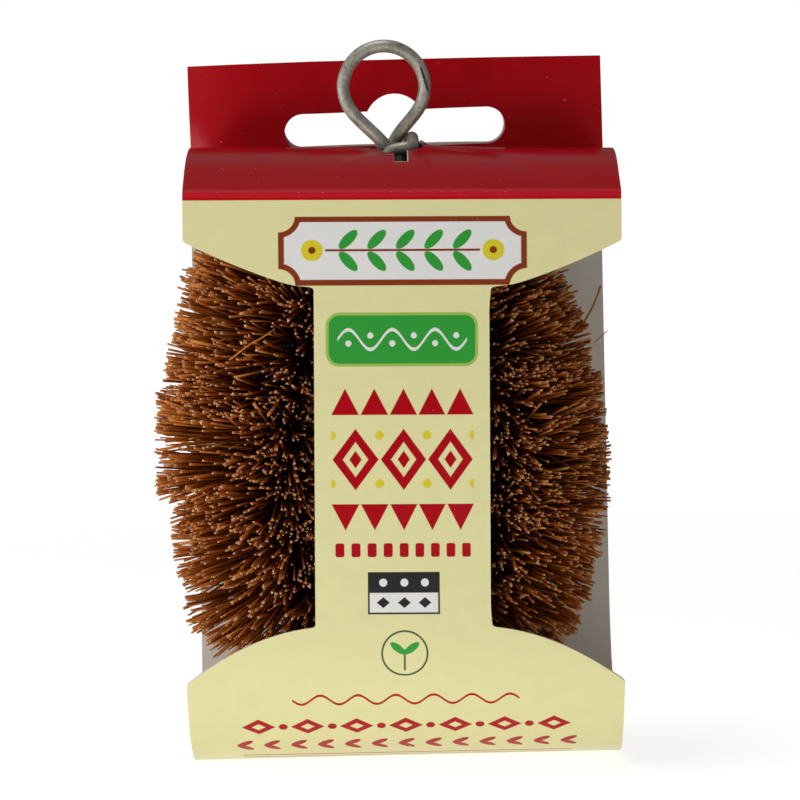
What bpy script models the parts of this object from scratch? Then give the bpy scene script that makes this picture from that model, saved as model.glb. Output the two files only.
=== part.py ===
"""A small coir scrub brush in the folded card sleeve that it hangs by.

The brush is one galvanised wire, folded in half and twisted on itself with coir fibre held in the
twist. The twisted rod is bent round into a teardrop, and the fold of the wire is left out at the top
as a hanging ring. The sleeve is one strip of printed card: it runs from the header down the flap, the
front label, round the bottom and up the back, where both ends meet in a double header with a hang slot.

Frame: +X right as the front label is read, +Y back, +Z up. The origin is where a peg carries the
sleeve: the top of the hang slot's hump, in the plane of the sleeve's back.
"""

import math

import bmesh
import bpy
import numpy as np
from mathutils import Matrix, Vector

MM = 0.001

# Card sleeve
CARD_WIDTH = 60 * MM
CARD_THICKNESS = 0.45 * MM
SLEEVE_DEPTH = 38 * MM
SLEEVE_HEIGHT = 80.2 * MM
FRONT_BOW = 3.4 * MM
BOTTOM_ROUND_HEIGHT = 21 * MM
FLAP_RISE = 5.6 * MM
HEADER_TOP = 4.9 * MM
HEADER_FOOT = 5.8 * MM
HEADER_LAYER_GAP = 0.3 * MM
HEADER_CURL = 4 * MM
HEADER_CURL_WIDTH = 22 * MM
BACK_TURN_DEG = 1.1
BOTTOM_TURN_SHARE = 0.65
LABEL_SHIFT = 0.9 * MM
HANG_SLOT_WIDTH = 32 * MM
HANG_SLOT_HEIGHT = 5.3 * MM
HANG_HUMP_RADIUS = 4.3 * MM
HANG_HUMP_RISE = 2.4 * MM

# Side windows of the front label, which leave a strip down its middle
STRIP_WIDTH = 24.4 * MM
WINDOW_TOP_DROP = 13.4 * MM
WINDOW_HEIGHT = 46 * MM
WINDOW_TOP_SLOPES = (0.30, 0.43)
WINDOW_BOTTOM_SLOPES = (0.20, 0.66)
WINDOW_INNER_CORNER = 1 * MM
WINDOW_OUTER_CORNER = 1.3 * MM
STEM_SLOT_WIDTH = 2.5 * MM
STEM_SLOT_LENGTH = 14 * MM

# Twisted wire core
WIRE_DIAMETER = 1.83 * MM
CORE_CENTRE_X = -0.9 * MM
CORE_TOP_BELOW_FLAP = 3.2 * MM
CORE_HEIGHT = 64.5 * MM
CORE_WIDTH = 28.4 * MM
CORE_START_HALF_WIDTH = 3.4 * MM
TWIST_TURNS = 14
WIRE_POINTS_PER_TURN = 8
WIRE_POINT_SPACING = 1.2 * MM
CUT_END_TURN = (-0.9 * MM, -0.5 * MM, 1.4 * MM)

# Hanging ring and the wrapped end that closes its neck
RING_RADIUS = 5.7 * MM
RING_CENTRE_ABOVE_FLAP = 8.4 * MM
RING_LEAN = 1.6 * MM
RING_POINTS = 24
NECK_X = 0.2 * MM
NECK_WIRE_SPACING = 2.4 * MM
NECK_HEIGHT = 2.2 * MM
NECK_OVER_FLAP = 0.9 * MM
NECK_UNDER_FLAP = 1.8 * MM
NECK_SIDE_STEP = 0.3 * MM
WRAP_SIDE_CLEARANCE = 1.1 * MM
WRAP_CLEARANCE = 0.6 * MM
WRAP_CLIMB = 0.4 * MM
WRAP_START_DEG = -128
WRAP_END_DEG = 80
WRAP_POINTS = 13

# Coir fibre
FIBRE_THICKNESS = 0.5 * MM
FIBRE_TIP_SHARE = 0.7
FIBRE_ROOT_RADIUS = 1.9 * MM
FIBRE_REACH = 19.4 * MM
FIBRE_CRUSH_RIGHT = 3.0 * MM
FIBRE_RAGGED = 1.3 * MM
FIBRE_RAGGED_WAVES = (2.6 * MM, 1.2 * MM)
FIBRE_SPLAY = 0.10
FIBRE_SPLAY_WAVE = 0.86 * MM
FIBRE_PAIRS_PER_TURN = 11
FIBRE_LEAST_LENGTH = 2.5 * MM
FIBRE_INNER_SHARE = 0.86

# Clearance between pieces that lie against each other
SEAT_GAP = 0.3 * MM

# How far a cut is carried past the card
CUT_PAST = 3 * MM

# Fineness of the curves
CARD_COLUMNS = 12
HEADER_STEPS = 7
FLAP_STEPS = 14
FRONT_STEPS = 8
BOTTOM_STEPS = 30
SLOT_STEPS = 9
SWEEP_STEPS = 8
CORNER_STEPS = 4

# Places worked out from the sizes
SLOT_WING_TOP = -HANG_HUMP_RISE
SLOT_BOTTOM = SLOT_WING_TOP - HANG_SLOT_HEIGHT
FOLD_Z = SLOT_BOTTOM - HEADER_FOOT
SLEEVE_BOTTOM = FOLD_Z - SLEEVE_HEIGHT
BACK_MID_Y = -CARD_THICKNESS / 2
HEADER_FRONT_MID_Y = BACK_MID_Y - CARD_THICKNESS - HEADER_LAYER_GAP
FRONT_MID_Y = -SLEEVE_DEPTH + CARD_THICKNESS / 2
BOTTOM_CENTRE_Y = (FRONT_MID_Y - FRONT_BOW + BACK_MID_Y) / 2
BOTTOM_HALF_DEPTH = BACK_MID_Y - BOTTOM_CENTRE_Y
BOTTOM_HALF_HEIGHT = BOTTOM_ROUND_HEIGHT - CARD_THICKNESS / 2
BOTTOM_CENTRE_Z = SLEEVE_BOTTOM + BOTTOM_ROUND_HEIGHT
FLAP_HALF_SPAN = (HEADER_FRONT_MID_Y - FRONT_MID_Y) / 2
FLAP_CENTRE_Y = (HEADER_FRONT_MID_Y + FRONT_MID_Y) / 2
FLAP_RADIUS = (FLAP_HALF_SPAN**2 + FLAP_RISE**2) / (2 * FLAP_RISE)
FLAP_CENTRE_Z = FOLD_Z + FLAP_RISE - FLAP_RADIUS
FLAP_TOP = FOLD_Z + FLAP_RISE + CARD_THICKNESS / 2
WIRE_RADIUS = WIRE_DIAMETER / 2
CORE_Y = FLAP_CENTRE_Y
CORE_TOP = FLAP_TOP - CORE_TOP_BELOW_FLAP
STRAND_OFFSET = FIBRE_THICKNESS / 2 + SEAT_GAP + WIRE_RADIUS

COIR_BROWN = (0.30, 0.12, 0.035, 1)
ZINC_GREY = (0.42, 0.43, 0.41, 1)
CARD_CREAM = (0.78, 0.75, 0.48, 1)


def material(name, colour, roughness, metallic=0.0):
    made = bpy.data.materials.new(name)
    made.use_nodes = True
    shader = made.node_tree.nodes["Principled BSDF"]
    shader.inputs["Base Color"].default_value = colour
    shader.inputs["Roughness"].default_value = roughness
    shader.inputs["Metallic"].default_value = metallic
    return made


def add_object(name, data, finish=None):
    made = bpy.data.objects.new(name, data)
    bpy.context.scene.collection.objects.link(made)
    if finish is not None:
        data.materials.append(finish)
    return made


def mesh_object(name, points, faces, finish=None):
    mesh = bpy.data.meshes.new(name)
    mesh.from_pydata([tuple(p) for p in points], [], faces)
    form = bmesh.new()
    form.from_mesh(mesh)
    bmesh.ops.recalc_face_normals(form, faces=form.faces)
    form.to_mesh(mesh)
    form.free()
    return add_object(name, mesh, finish)


def arc(centre, radii, start_deg, end_deg, steps):
    """Points of an elliptical arc in a plane, both ends included."""
    angles = np.radians(np.linspace(start_deg, end_deg, steps + 1))
    return [(centre[0] + radii[0] * math.cos(a), centre[1] + radii[1] * math.sin(a)) for a in angles]


def front_y(z):
    """Middle of the card of the front label: it bows forward from the crease down to the round bottom."""
    down = min(max((FOLD_Z - z) / (FOLD_Z - BOTTOM_CENTRE_Z), 0), 1)
    return FRONT_MID_Y - FRONT_BOW * math.sin(down * math.pi / 2)


def sleeve_profile():
    """Middle line of the card strip in the (y, z) plane, from one end at the header to the other."""
    flap_half_angle = math.degrees(math.asin(FLAP_HALF_SPAN / FLAP_RADIUS))
    flap = arc((FLAP_CENTRE_Y, FLAP_CENTRE_Z), (FLAP_RADIUS, FLAP_RADIUS),
               90 - flap_half_angle, 90 + flap_half_angle, FLAP_STEPS)
    front = [(front_y(z), z) for z in np.linspace(FOLD_Z, BOTTOM_CENTRE_Z, FRONT_STEPS + 1)[1:-1]]
    bottom = arc((BOTTOM_CENTRE_Y, BOTTOM_CENTRE_Z), (BOTTOM_HALF_DEPTH, BOTTOM_HALF_HEIGHT),
                 180, 360, BOTTOM_STEPS)
    header_heights = np.linspace(FOLD_Z, HEADER_TOP, HEADER_STEPS + 1)
    header = [(HEADER_FRONT_MID_Y, z) for z in header_heights[:0:-1]]
    back = [(BACK_MID_Y, z) for z in header_heights]
    return header + flap + front + bottom + back


def share_of_turn(y, z):
    """How much of the back's turn a place has: none at the label, all of it at the back and the header."""
    if z > BOTTOM_CENTRE_Z:
        return min(max((y - FLAP_CENTRE_Y) / FLAP_HALF_SPAN, 0), 1)
    behind_front = y - BOTTOM_CENTRE_Y + BOTTOM_HALF_DEPTH
    return min(max(behind_front / (2 * BOTTOM_TURN_SHARE * BOTTOM_HALF_DEPTH), 0), 1)


def turned(x, z, share):
    """A place on the untwisted sleeve, where the twist of the sleeve takes it."""
    angle = math.radians(BACK_TURN_DEG) * share
    shifted = x + LABEL_SHIFT * (1 - share)
    return shifted * math.cos(angle) - z * math.sin(angle), shifted * math.sin(angle) + z * math.cos(angle)


def unturned(x, z, share):
    """The other way round from turned."""
    angle = math.radians(BACK_TURN_DEG) * share
    return (x * math.cos(angle) + z * math.sin(angle) - LABEL_SHIFT * (1 - share),
            z * math.cos(angle) - x * math.sin(angle))


def header_curl(x, z):
    """How far the header's left end curls back: most at its top corner, nothing at the fold."""
    along = max(HEADER_CURL_WIDTH - CARD_WIDTH / 2 - x, 0) / HEADER_CURL_WIDTH
    up = max(z - FOLD_Z, 0) / (HEADER_TOP - FOLD_Z)
    return HEADER_CURL * along**2 * up


def prism_y(name, outline, y_low, y_high):
    """A hidden cutter: an outline in the (x, z) plane, carried through along Y."""
    count = len(outline)
    points = [(x, y, z) for y in (y_low, y_high) for x, z in outline]
    sides = [(i, (i + 1) % count, count + (i + 1) % count, count + i) for i in range(count)]
    caps = [tuple(range(count)), tuple(range(2 * count - 1, count - 1, -1))]
    cutter = mesh_object(name, points, sides + caps)
    cutter.hide_render = True
    cutter.display_type = "WIRE"
    return cutter


def hang_slot_outline():
    """A long slot with round ends and a round hump above its middle, which centres a peg."""
    end_radius = HANG_SLOT_HEIGHT / 2
    mid_z = SLOT_BOTTOM + end_radius
    straight = HANG_SLOT_WIDTH / 2 - end_radius
    hump_centre_z = -HANG_HUMP_RADIUS
    hump_angle = math.degrees(math.asin((SLOT_WING_TOP - hump_centre_z) / HANG_HUMP_RADIUS))
    right_end = arc((straight, mid_z), (end_radius, end_radius), -90, 90, SLOT_STEPS)
    hump = arc((0, hump_centre_z), (HANG_HUMP_RADIUS, HANG_HUMP_RADIUS), hump_angle, 180 - hump_angle,
               SLOT_STEPS)
    left_end = arc((-straight, mid_z), (end_radius, end_radius), 90, 270, SLOT_STEPS)
    return right_end + hump + left_end


def sweep(slopes):
    """Offsets along a window's curved edge from the strip: its slope goes evenly from one to the other."""
    reach = (CARD_WIDTH - STRIP_WIDTH) / 2
    start, end = slopes
    outs = [reach * i / SWEEP_STEPS for i in range(SWEEP_STEPS + 1)]
    return [(out, start * out + (end - start) * out**2 / (2 * reach)) for out in outs]


def rounded(before, corner, after, radius):
    """A corner eased by a parabola that leaves each side at the radius from the corner."""
    corner = Vector(corner)
    start = corner + (Vector(before) - corner).normalized() * radius
    end = corner + (Vector(after) - corner).normalized() * radius
    shares = [i / CORNER_STEPS for i in range(CORNER_STEPS + 1)]
    return [tuple(start * (1 - t) ** 2 + corner * 2 * t * (1 - t) + end * t**2) for t in shares]


def window_outline(side):
    """One side window of the label: the strip's edge, and two curves that flare out to the card's edge."""
    strip_x, edge_x = STRIP_WIDTH / 2, CARD_WIDTH / 2
    top = FOLD_Z - WINDOW_TOP_DROP
    halves = []
    for z, way, slopes in ((top, 1, WINDOW_TOP_SLOPES), (top - WINDOW_HEIGHT, -1, WINDOW_BOTTOM_SLOPES)):
        line = [(strip_x + out, z + way * rise) for out, rise in sweep(slopes)]
        beyond = (edge_x, line[-1][1] + way * CUT_PAST)
        half = rounded((strip_x, z - way * CUT_PAST), line[0], line[1], WINDOW_INNER_CORNER)
        half += line[1:-1]
        half += rounded(line[-2], line[-1], beyond, WINDOW_OUTER_CORNER)
        halves.append(half + [(edge_x + CUT_PAST, half[-1][1])])
    outline = halves[0] + halves[1][::-1]
    return [(side * x + LABEL_SHIFT, z) for x, z in outline]


def box_outline(x_mid, x_half, z_low, z_high):
    low, high = x_mid - x_half, x_mid + x_half
    return [(low, z_low), (high, z_low), (high, z_high), (low, z_high)]


def cut(target, cutter):
    boolean = target.modifiers.new(cutter.name, "BOOLEAN")
    boolean.operation = "DIFFERENCE"
    boolean.object = cutter


def make_sleeve(finish):
    columns = np.linspace(-CARD_WIDTH / 2, CARD_WIDTH / 2, CARD_COLUMNS + 1)
    points = []
    for y, z in sleeve_profile():
        share = share_of_turn(y, z)
        in_header = y > HEADER_FRONT_MID_Y - CARD_THICKNESS
        for x in columns:
            across, up = turned(x, z, share)
            points.append((across, y + (header_curl(x, z) if in_header else 0), up))
    wide = len(columns)
    rows = len(points) // wide
    faces = [(r * wide + c, r * wide + c + 1, (r + 1) * wide + c + 1, (r + 1) * wide + c)
             for r in range(rows - 1) for c in range(wide - 1)]
    sleeve = mesh_object("card_sleeve", points, faces, finish)
    sleeve.data.shade_smooth()
    sleeve.data.set_sharp_from_angle(angle=math.radians(30))
    thickness = sleeve.modifiers.new("card thickness", "SOLIDIFY")
    thickness.thickness = CARD_THICKNESS
    thickness.offset = 0
    thickness.use_even_offset = True

    slot = [turned(x, z, 1) for x, z in hang_slot_outline()]
    cut(sleeve, prism_y("hang_slot_cutter", slot, HEADER_FRONT_MID_Y - CUT_PAST, HEADER_CURL + CUT_PAST))
    in_front = FRONT_MID_Y - FRONT_BOW - CUT_PAST
    for name, side in (("left_window_cutter", -1), ("right_window_cutter", 1)):
        cut(sleeve, prism_y(name, window_outline(side), in_front, BOTTOM_CENTRE_Y))
    stem_outline = box_outline(NECK_X, STEM_SLOT_WIDTH / 2, FOLD_Z, FLAP_TOP + CUT_PAST)
    half_length = STEM_SLOT_LENGTH / 2
    cut(sleeve, prism_y("stem_slot_cutter", stem_outline, CORE_Y - half_length, CORE_Y + half_length))
    return sleeve


def inside_sleeve(point, gap):
    """True where a point keeps the gap to the card's inner faces."""
    y = point.y
    _, z = unturned(point.x, point.z, share_of_turn(y, point.z))
    wall = CARD_THICKNESS / 2 + gap
    if y > BACK_MID_Y - wall or y < front_y(z) + wall:
        return False
    if math.hypot(y - FLAP_CENTRE_Y, z - FLAP_CENTRE_Z) > FLAP_RADIUS - wall and z > FLAP_CENTRE_Z:
        return False
    if z > BOTTOM_CENTRE_Z:
        return True
    across = (y - BOTTOM_CENTRE_Y) / (BOTTOM_HALF_DEPTH - wall)
    down = (z - BOTTOM_CENTRE_Z) / (BOTTOM_HALF_HEIGHT - wall)
    return across**2 + down**2 < 1


class CoreLine:
    """The teardrop that the twisted rod is bent to, read by its length from the top of its left leg.

    x is a constant times sin(q) sin(q/2) and z falls by (1 - cos q)/2 of the height, for q from 0 at
    the neck, through the bottom at pi, and back to the neck at 2 pi. The rod starts and ends where
    its two legs are far enough apart to lie side by side.
    """

    PEAK = 4 / math.sqrt(27)
    SAMPLES = 4000
    NEAR = 0.2 * MM

    def __init__(self):
        half = CORE_WIDTH / 2 / self.PEAK
        q = np.linspace(0, 2 * math.pi, self.SAMPLES + 1)
        x = -half * np.sin(q) * np.sin(q / 2)
        z = -CORE_HEIGHT * (1 - np.cos(q)) / 2
        apart = (np.abs(x) > CORE_START_HALF_WIDTH) | (z < -CORE_HEIGHT / 2)
        first = int(np.argmax(apart))
        last = len(q) - 1 - int(np.argmax(apart[::-1]))
        self.points = np.stack([x, z], axis=1)[first:last + 1] + [CORE_CENTRE_X, CORE_TOP]
        steps = np.linalg.norm(np.diff(self.points, axis=0), axis=1)
        self.lengths = np.concatenate([[0], np.cumsum(steps)])
        self.length = float(self.lengths[-1])
        self.pitch = self.length / TWIST_TURNS

    def at(self, s):
        """(point, run, outward) at length s. outward lies in the teardrop's plane and points away from it."""
        x = np.interp(s, self.lengths, self.points[:, 0])
        z = np.interp(s, self.lengths, self.points[:, 1])
        ahead, behind = min(s + self.NEAR, self.length), max(s - self.NEAR, 0)
        run_x = np.interp(ahead, self.lengths, self.points[:, 0])
        run_x -= np.interp(behind, self.lengths, self.points[:, 0])
        run_z = np.interp(ahead, self.lengths, self.points[:, 1])
        run_z -= np.interp(behind, self.lengths, self.points[:, 1])
        run = Vector((run_x, 0, run_z)).normalized()
        return Vector((x, CORE_Y, z)), run, Vector((run.z, 0, -run.x))

    def twist(self, s):
        """(u, v): u is the way the fibres leave the twist at s, and the wires lie along v, square to it."""
        angle = 2 * math.pi * s / self.pitch
        _, _, outward = self.at(s)
        back = Vector((0, 1, 0))
        u = outward * math.cos(angle) + back * math.sin(angle)
        return u, back * math.cos(angle) - outward * math.sin(angle)

    def inward_room(self, s):
        """Radius of the largest circle inside the teardrop that touches it at length s."""
        point, _, outward = self.at(s)
        to_others = self.points - [point.x, point.z]
        towards = -(to_others @ np.array([outward.x, outward.z]))
        ahead = towards > 1e-6
        return float(((to_others[ahead] ** 2).sum(axis=1) / (2 * towards[ahead])).min())


def smooth_line(points):
    """Evenly spaced points along the Catmull-Rom curve through the given points."""
    padded = [2 * points[0] - points[1], *points, 2 * points[-1] - points[-2]]
    line = []
    for before, start, end, after in zip(padded, padded[1:], padded[2:], padded[3:]):
        pieces = max(1, round((end - start).length / WIRE_POINT_SPACING))
        for i in range(pieces):
            t = i / pieces
            line.append(0.5 * (2 * start + (end - before) * t
                               + (2 * before - 5 * start + 4 * end - after) * t**2
                               + (3 * start - before - 3 * end + after) * t**3))
    return line + [points[-1]]


def ring_line():
    """The ring, from its rear leg at the neck round to its front leg: a circle met by two tangents."""
    centre_x, centre_z = NECK_X - RING_LEAN, FLAP_TOP + RING_CENTRE_ABOVE_FLAP
    neck_z = FLAP_TOP + NECK_HEIGHT
    to_neck = Vector((RING_LEAN, neck_z - centre_z))
    neck_angle = math.atan2(to_neck.y, to_neck.x)
    touch = math.acos(RING_RADIUS / to_neck.length)
    angles = np.linspace(neck_angle + touch, neck_angle + 2 * math.pi - touch, RING_POINTS)
    depths = np.linspace(NECK_WIRE_SPACING / 2, -NECK_WIRE_SPACING / 2, RING_POINTS + 2)[1:-1]
    across, up = centre_x + RING_RADIUS * np.cos(angles), centre_z + RING_RADIUS * np.sin(angles)
    return [Vector(place) for place in zip(across, CORE_Y + depths, up)]


def wrap_line():
    """The end that is wrapped over the neck: from a cut tip in front, round its right side, to behind it."""
    side_radius = WIRE_DIAMETER + WRAP_SIDE_CLEARANCE
    depth_radius = NECK_WIRE_SPACING / 2 + WIRE_DIAMETER + WRAP_CLEARANCE
    wrap_z = FLAP_TOP + WIRE_RADIUS + SEAT_GAP
    line = []
    for angle_deg in np.linspace(WRAP_START_DEG, WRAP_END_DEG, WRAP_POINTS):
        angle = math.radians(angle_deg)
        climb = WRAP_CLIMB * (1 + math.cos(angle)) / 2
        line.append(Vector((NECK_X + side_radius * math.cos(angle), CORE_Y + depth_radius * math.sin(angle),
                            wrap_z + climb)))
    return line, Vector((NECK_X, CORE_Y + depth_radius, 0))


def wire_line(core):
    """The whole wire from the cut tip of the wrap to its other cut end under the flap."""
    def strand(side):
        count = TWIST_TURNS * WIRE_POINTS_PER_TURN
        line = []
        for s in np.linspace(0, core.length, count + 1):
            point, _, _ = core.at(s)
            line.append(point + core.twist(s)[1] * side * STRAND_OFFSET)
        return line

    rear, front = strand(1), strand(-1)

    def neck(depth):
        return [Vector((NECK_X - NECK_SIDE_STEP, CORE_Y + depth, under_flap)),
                Vector((NECK_X, CORE_Y + depth, over_flap))]

    under_flap, over_flap = FLAP_TOP - NECK_UNDER_FLAP, FLAP_TOP + NECK_OVER_FLAP
    wrap, behind = wrap_line()
    down = [Vector((behind.x, behind.y, z)) for z in (FLAP_TOP - SEAT_GAP, under_flap - WIRE_POINT_SPACING)]
    lead_in = smooth_line(wrap + down + [rear[-1]])[:-1]
    rise = smooth_line([rear[0]] + neck(NECK_WIRE_SPACING / 2))[1:]
    fall = smooth_line(neck(-NECK_WIRE_SPACING / 2)[::-1] + [front[0]])[:-1]
    cut_end = [front[-1] + Vector(CUT_END_TURN)]
    return lead_in + rear[::-1] + rise + ring_line() + fall + front + cut_end


def least_gap(line, diameter):
    """Least clear distance between stretches of the wire that aren't neighbours along it."""
    points = np.array(line)
    along = np.concatenate([[0], np.cumsum(np.linalg.norm(np.diff(points, axis=0), axis=1))])
    apart = np.linalg.norm(points[:, None] - points[None], axis=2)
    apart[np.abs(along[:, None] - along[None]) < 3 * diameter] = np.inf
    return float(apart.min()) - diameter


def make_wire(core, finish):
    line = wire_line(core)
    curve = bpy.data.curves.new("core_wire", "CURVE")
    curve.dimensions = "3D"
    curve.bevel_depth = WIRE_RADIUS
    curve.bevel_resolution = 1
    curve.use_fill_caps = True
    spline = curve.splines.new("POLY")
    spline.points.add(len(line) - 1)
    for place, point in zip(spline.points, line):
        place.co = (*point, 1)
    print(f"core_wire: {len(line)} points, least gap to itself {least_gap(line, WIRE_DIAMETER) / MM:.2f} mm")
    return add_object("core_wire", curve, finish)


def fibre_at(core, s, side):
    """(root, way, length) of the fibre that leaves the twist at s on one side.

    The length is the fibre's own ragged one, less what the sleeve or the other leg takes away.
    """
    point, run, outward = core.at(s)
    out = core.twist(s)[0] * side
    lean = FIBRE_SPLAY * math.sin(s / FIBRE_SPLAY_WAVE + side)
    way = (out + run * lean).normalized()
    root = point + out * FIBRE_ROOT_RADIUS
    ragged = sum(1 + math.sin(s / wave * math.tau + side) for wave in FIBRE_RAGGED_WAVES) / 4
    length = FIBRE_REACH - FIBRE_ROOT_RADIUS - FIBRE_RAGGED * ragged - FIBRE_CRUSH_RIGHT * max(way.x, 0)
    inward = -way.dot(outward)
    if inward > 0:
        room = FIBRE_INNER_SHARE * core.inward_room(s) - SEAT_GAP
        length = min(length, room / inward - FIBRE_ROOT_RADIUS)
    clear = SEAT_GAP + FIBRE_THICKNESS / 2
    steps = np.arange(0, max(length, 0), FIBRE_THICKNESS / 2)
    outside = [r for r in steps if not inside_sleeve(root + way * r, clear)]
    return root, way, float(min(outside[0] - FIBRE_THICKNESS / 2, length)) if outside else length


def bundle_stations(core, number):
    """Both ends of a bundle along the twist, and the places between them where its fibres leave it."""
    start, end = number * core.pitch + SEAT_GAP / 2, (number + 1) * core.pitch - SEAT_GAP / 2
    spacing = (end - start) / FIBRE_PAIRS_PER_TURN
    return start, end, [start + spacing * (i + 0.5) for i in range(FIBRE_PAIRS_PER_TURN)]


def make_bundle(core, number, finish):
    """The fibre of one turn: a slice of the mat between the wires, its fibres drawn out of its two edges."""
    start, end, stations = bundle_stations(core, number)
    half = FIBRE_THICKNESS / 2
    form = bmesh.new()
    rings = []
    for s in [start] + [s + e for s in stations for e in (-half, half)] + [end]:
        point, _, _ = core.at(s)
        u, v = core.twist(s)
        corners = [(1, 1), (1, -1), (-1, -1), (-1, 1)]
        rings.append([form.verts.new(point + u * a * FIBRE_ROOT_RADIUS + v * b * half) for a, b in corners])
    roots = []
    for i, (near, far) in enumerate(zip(rings, rings[1:])):
        sides = [form.faces.new((near[k], near[(k + 1) % 4], far[(k + 1) % 4], far[k])) for k in range(4)]
        if i % 2:
            roots += [(sides[0], stations[i // 2], 1), (sides[2], stations[i // 2], -1)]
    form.faces.new(rings[0])
    form.faces.new(rings[-1][::-1])
    bmesh.ops.recalc_face_normals(form, faces=form.faces)

    fibres = 0
    for face, s, side in roots:
        _, way, length = fibre_at(core, s, side)
        if length < FIBRE_LEAST_LENGTH:
            continue
        tip = bmesh.ops.extrude_discrete_faces(form, faces=[face])["faces"][0]
        middle = tip.calc_center_median()
        bmesh.ops.scale(form, vec=(FIBRE_TIP_SHARE,) * 3, space=Matrix.Translation(-middle), verts=tip.verts)
        bmesh.ops.translate(form, vec=way * length, verts=tip.verts)
        fibres += 1

    name = f"coir_bundle_{number + 1:02d}"
    mesh = bpy.data.meshes.new(name)
    form.to_mesh(mesh)
    form.free()
    add_object(name, mesh, finish)
    return fibres


def main():
    for old in list(bpy.data.objects):
        bpy.data.objects.remove(old)
    core = CoreLine()
    make_sleeve(material("printed_card", CARD_CREAM, 0.45))
    make_wire(core, material("galvanised_wire", ZINC_GREY, 0.45, metallic=0.8))
    coir = material("coir", COIR_BROWN, 0.55)
    fibres = sum(make_bundle(core, number, coir) for number in range(TWIST_TURNS))
    print(f"{fibres} fibres on {core.length / MM:.1f} mm of twist, pitch {core.pitch / MM:.2f} mm")


main()
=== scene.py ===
import math

import bmesh
import bpy
import numpy as np
from mathutils import Matrix


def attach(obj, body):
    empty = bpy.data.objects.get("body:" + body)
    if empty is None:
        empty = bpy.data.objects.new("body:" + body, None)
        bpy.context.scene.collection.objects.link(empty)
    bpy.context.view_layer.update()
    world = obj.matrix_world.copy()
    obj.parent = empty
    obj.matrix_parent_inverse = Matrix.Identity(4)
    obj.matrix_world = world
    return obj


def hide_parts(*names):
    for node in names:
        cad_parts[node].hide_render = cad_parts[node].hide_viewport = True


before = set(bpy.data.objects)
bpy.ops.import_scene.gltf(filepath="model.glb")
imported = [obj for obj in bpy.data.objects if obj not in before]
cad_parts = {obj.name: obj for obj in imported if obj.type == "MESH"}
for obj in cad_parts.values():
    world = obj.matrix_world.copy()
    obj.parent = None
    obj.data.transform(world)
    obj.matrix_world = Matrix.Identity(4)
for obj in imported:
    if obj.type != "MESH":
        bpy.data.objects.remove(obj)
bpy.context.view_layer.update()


# The card sleeve. One strip of board, printed outside and bare inside, is die-cut with the hang slot, the neck
# slot and two side windows and creased above and below the flap. It runs down the header, over the bowed flap,
# down the label, round the bottom and up the back, and its flap holds it on the wire's neck.
MM = 0.001  # all sizes below are in mm
CARD_THICK = 0.45
CARD_HALF = 30.0
HEADER_TOP, FOLD_Z, BOTTOM_Z = 4.9, -13.5, -93.7
HEADER_FRONT_Y, LABEL_Y, BACK_Y, LABEL_BOW = -0.975, -37.775, -0.225, 3.4
FLAP_RISE, FLAP_MID_Y, FLAP_HALF = 5.6, -19.375, 18.4
FLAP_R = (FLAP_HALF**2 + FLAP_RISE**2) / (2 * FLAP_RISE)
FLAP_MID_Z = FOLD_Z + FLAP_RISE - FLAP_R
ROUND_Z = BOTTOM_Z + 21
ROUND_Y = (LABEL_Y - LABEL_BOW + BACK_Y) / 2
ROUND_HALF_Y, ROUND_HALF_Z = BACK_Y - ROUND_Y, 21 - CARD_THICK / 2
SLOT_HALF, SLOT_R, SLOT_MID_Z = 16.0, 2.65, -5.05
HUMP_R, HUMP_HALF = 4.3, 3.858
STRIP_HALF, WINDOW_TOP_Z, WINDOW_BOTTOM_Z = 12.2, -27.6, -73.4
SWEEPS_Z = ((-19.2, -28.2), (-71.9, -81.9))
NECK_SLOT_X, NECK_SLOT_Y = (-1.06, 0.78), (-30.4, -10.4)
NECK_MID, NECK_HALF = sum(NECK_SLOT_X) / 2, (NECK_SLOT_X[1] - NECK_SLOT_X[0]) / 2
NECK_HOLE_HALF, NECK_HOLE_Y = 3.5, (-24.4, -13.4)
BACK_TURN, FRONT_SHIFT = 1.1, 0.9
# Rises and dents of the flap: height, then middle and width across, and middle and width back from the ridge.
FLAP_BELLS = ((0.5, 0.0, 9.0, 1.5, 4.2), (1.0, 2.75, 0.8, 3.3, 1.7), (-0.45, -1.7, 1.5, -5.4, 1.9),
              (-0.45, -3.7, 1.7, -2.6, 2.6))
# Shallow folds that run forward from the neck: depth, start across, slant and width.
FLAP_FOLDS = ((0.16, 6.0, 0.9, 2.6), (0.12, -7.0, -0.8, 3.0))


def running_mean(values, count):
    """The mean of each value and its neighbours, with both ends carried on in a straight line."""
    half = count // 2
    before = 2 * values[0] - values[half:0:-1]
    after = 2 * values[-1] - values[-2:-half - 2:-1]
    return np.convolve(np.concatenate([before, values, after]), np.full(count, 1 / count), "valid")


def along_line(points):
    """Length along a line of points, from its first point to each of them."""
    steps = np.linalg.norm(np.diff(points, axis=0), axis=1)
    return np.concatenate([[0], np.cumsum(steps)])


def points_at(line, length, where):
    """The points of a line at the given lengths along it."""
    return np.stack([np.interp(where, length, column) for column in line.T], -1)


def evened(line, step):
    """The line's points a step apart, its corners rounded by a running mean of nine of them."""
    length = along_line(line)
    even = points_at(line, length, np.arange(0, length[-1], step))
    return np.stack([running_mean(column, 9) for column in even.T], 1)


def bell(value, middle, width):
    """A bell curve, 1 at its middle: e to minus the square of the distance from there over the width."""
    return np.exp(-((value - middle) / width) ** 2)


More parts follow.
